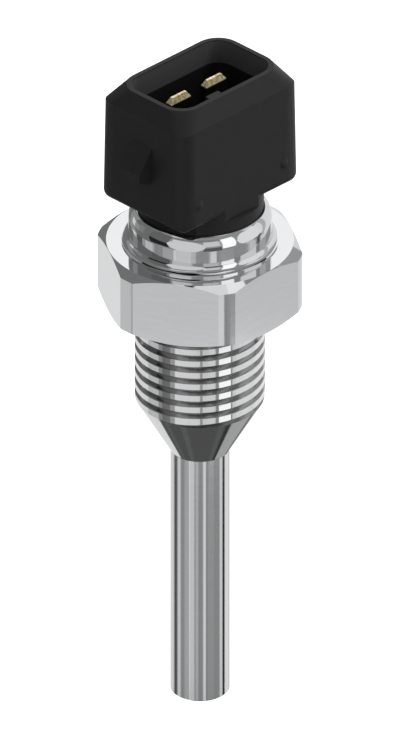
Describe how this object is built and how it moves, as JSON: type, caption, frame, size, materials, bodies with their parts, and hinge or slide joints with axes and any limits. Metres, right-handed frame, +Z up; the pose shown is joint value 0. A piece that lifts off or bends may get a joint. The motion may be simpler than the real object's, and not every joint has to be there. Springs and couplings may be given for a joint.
{
  "type": "screw-in temperature sensor",
  "caption": "Screw-in temperature sensor: hexagon body with pipe thread, cone and closed stem, and a black blade plug housing held by a crimped collar.",
  "frame": {"origin": "on the probe's axis, in the sealing face under the hexagon, where the thread starts", "axes": "+Z up the axis towards the plug, +X along the plug's long side"},
  "size_m": [0.021, 0.019, 0.0712],
  "materials": {
    "metal": "bright turned and polished",
    "plug_plastic": "fine satin moulded",
    "seal_rubber": "smooth moulded",
    "potting": "poured resin",
    "gold_plate": "gold plated",
    "tinned_wire": "tinned",
    "lead_jacket_white": "smooth extruded",
    "lead_jacket_red": "smooth extruded",
    "shrink_plastic": "shrunk tube",
    "ceramic": "fired ceramic",
    "bead_glass": "fused glass drop",
    "sleeve_plastic": "amber film tube",
    "filling_paste": "set paste"
  },
  "bodies": {
    "root": {"sensor_body": "metal", "plug_housing": "plug_plastic", "flange_o_ring": "seal_rubber", "terminal_potting": "potting", "lead_grommet": "seal_rubber", "blade_terminal_left": "gold_plate", "blade_terminal_right": "gold_plate", "lead_conductor_left": "tinned_wire", "lead_conductor_right": "tinned_wire", "lead_insulation_left": "lead_jacket_white", "lead_insulation_right": "lead_jacket_red", "splice_sleeve_left": "tinned_wire", "splice_sleeve_right": "tinned_wire", "splice_shrink_left": "shrink_plastic", "splice_shrink_right": "shrink_plastic", "element_leg_left": "tinned_wire", "element_leg_right": "tinned_wire", "sensing_element": "ceramic", "leg_bead": "bead_glass", "insulating_sleeve": "sleeve_plastic", "tip_filling": "filling_paste"}
  },
  "joints": []
}
